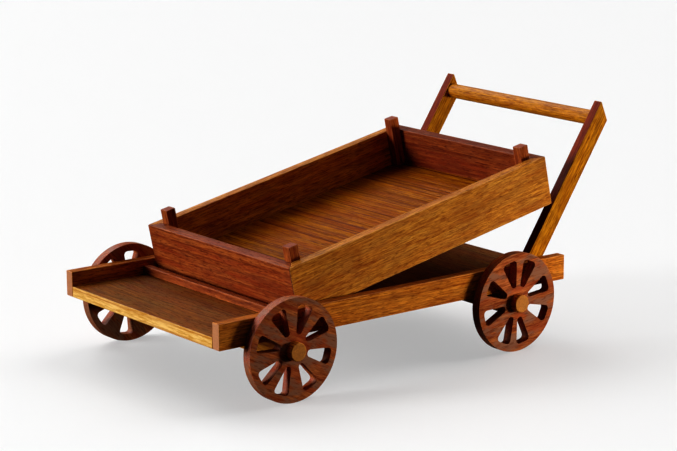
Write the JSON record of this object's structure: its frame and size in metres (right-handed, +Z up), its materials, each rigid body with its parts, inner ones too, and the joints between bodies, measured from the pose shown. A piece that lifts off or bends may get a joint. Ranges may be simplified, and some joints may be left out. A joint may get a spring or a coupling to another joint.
{
  "type": "toy wagon with pull handle",
  "caption": "Wooden toy wagon with sawn spoked wheels, a railed deck, a leaning pull handle frame and an open tray that rests against it and tips forward.",
  "frame": {"origin": "on the floor under the middle of the overall length and width", "axes": "+X towards the handle at the rear, -X towards the open platform at the front, +Z up; the left of a person pushing the wagon is -Y and the right is +Y"},
  "size_m": [0.5446, 0.333, 0.2583],
  "materials": {
    "frame_wood": "oiled reddish-brown hardwood, satin, grain along the piece",
    "deck_wood": "oiled brown hardwood, satin, grain across the wagon",
    "tray_end_wood": "oiled red-brown hardwood, satin, grain across the wagon",
    "tray_side_wood": "oiled orange-brown hardwood, satin, grain along the board",
    "floor_wood": "oiled golden-brown hardwood with fine lines across the wagon, satin",
    "post_wood": "oiled red-brown hardwood, satin, grain up the post",
    "wheel_wood": "oiled dark reddish-brown hardwood, satin, grain straight across the disc",
    "hub_wood": "oiled light orange-brown hardwood, satin, end grain at the ends",
    "bolster_wood": "oiled honey-brown hardwood, satin, grain across the wagon",
    "screw_steel": "plain steel wood screw, countersunk"
  },
  "bodies": {
    "chassis": {"deck_board": "deck_wood", "toe_batten": "tray_end_wood", "left_rail": "frame_wood", "right_rail": "frame_wood", "left_upright": "frame_wood", "right_upright": "frame_wood", "left_upright_screw": "screw_steel", "right_upright_screw": "screw_steel", "grip_dowel": "frame_wood", "front_bolster": "bolster_wood", "rear_bolster": "bolster_wood", "front_bolster_screw_1": "screw_steel", "front_bolster_screw_2": "screw_steel", "front_bolster_screw_3": "screw_steel", "front_bolster_screw_4": "screw_steel", "rear_bolster_screw_1": "screw_steel", "rear_bolster_screw_2": "screw_steel", "rear_bolster_screw_3": "screw_steel", "rear_bolster_screw_4": "screw_steel"},
    "front_wheelset": {"front_axle": "hub_wood", "front_left_wheel": "wheel_wood", "front_right_wheel": "wheel_wood", "front_left_hub": "hub_wood", "front_right_hub": "hub_wood"},
    "rear_wheelset": {"rear_axle": "hub_wood", "rear_left_wheel": "wheel_wood", "rear_right_wheel": "wheel_wood", "rear_left_hub": "hub_wood", "rear_right_hub": "hub_wood"},
    "tray": {"tray_front_board": "tray_end_wood", "tray_rear_board": "tray_end_wood", "tray_left_board": "tray_side_wood", "tray_right_board": "tray_side_wood", "tray_floor": "floor_wood", "front_left_post": "post_wood", "front_right_post": "post_wood", "rear_left_post": "post_wood", "rear_right_post": "post_wood"}
  },
  "joints": [
    {"name": "front_wheels_roll", "type": "hinge", "parent": "chassis", "child": "front_wheelset", "pos_m": [-0.18925, 0, 0.0552], "axis": [0, 1, 0], "continuous": true},
    {"name": "rear_wheels_roll", "type": "hinge", "parent": "chassis", "child": "rear_wheelset", "pos_m": [0.11545, 0, 0.0552], "axis": [0, 1, 0], "continuous": true},
    {"name": "tray_tip", "type": "hinge", "parent": "chassis", "child": "tray", "pos_m": [-0.16301, 0, 0.0783], "axis": [0, -1, 0], "range_deg": [0, 31]}
  ]
}
